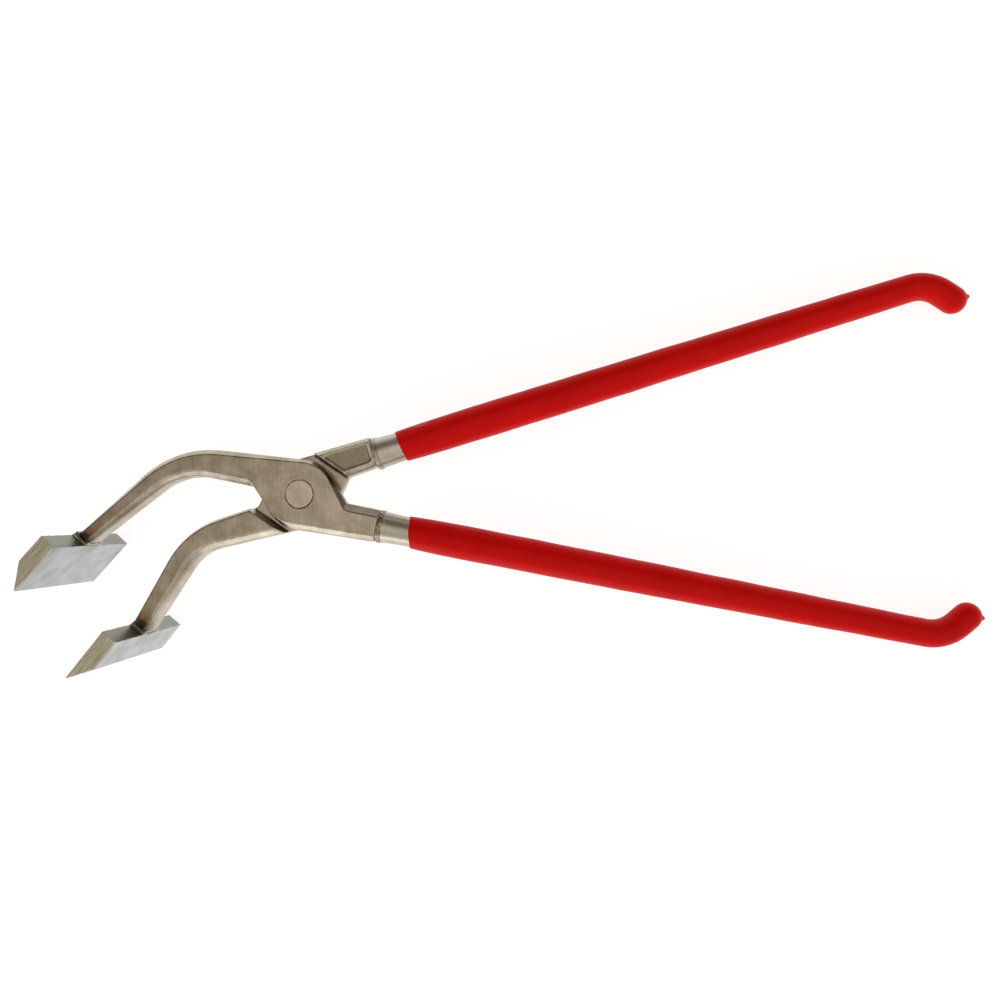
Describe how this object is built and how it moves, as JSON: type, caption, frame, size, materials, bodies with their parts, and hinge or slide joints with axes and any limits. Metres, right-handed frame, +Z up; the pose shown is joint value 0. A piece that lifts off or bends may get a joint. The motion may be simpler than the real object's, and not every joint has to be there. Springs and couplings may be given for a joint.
{
  "type": "frame grip",
  "caption": "Long-handled steel tongs with cranked jaws and crosswise chisel-edged blades on a riveted lap joint, with dipped plastic grips, for lifting comb frames.",
  "frame": {"origin": "centre of the bounding box's base, on the surface the tongs lie on", "axes": "+X from the jaws to the handle ends, +Y from the lower to the upper handle, +Z up from the table, which the blades' ends and the upper handle rest on, so the rivet axis leans 4.1 degrees"},
  "size_m": [0.3412, 0.1332, 0.0554],
  "materials": {
    "plated_forging": "nickel plated, linished",
    "blade_steel": "nickel plated, ground",
    "rivet_steel": "linished flush",
    "plated_bar": "nickel plated, satin",
    "weld_metal": "as welded, plated over",
    "brazing_metal": "brazed, heat tinted",
    "dipped_pvc": "dipped, satin gloss"
  },
  "bodies": {
    "rear_half": {"rear_forging": "plated_forging", "lower_jaw_blade": "blade_steel", "lower_braze_seam": "brazing_metal", "upper_handle_bar": "plated_bar", "upper_weld_ridge": "weld_metal", "upper_grip": "dipped_pvc", "pivot_rivet": "rivet_steel"},
    "front_half": {"front_forging": "plated_forging", "upper_jaw_blade": "blade_steel", "upper_braze_seam": "brazing_metal", "lower_handle_bar": "plated_bar", "lower_weld_ridge": "weld_metal", "lower_grip": "dipped_pvc"}
  },
  "joints": [
    {"name": "jaw_pivot", "type": "hinge", "parent": "rear_half", "child": "front_half", "pos_m": [-0.0728, 0.00028, 0.02171], "axis": [0.0613, 0.0374, 0.9974], "range_deg": [-16, 20]}
  ]
}
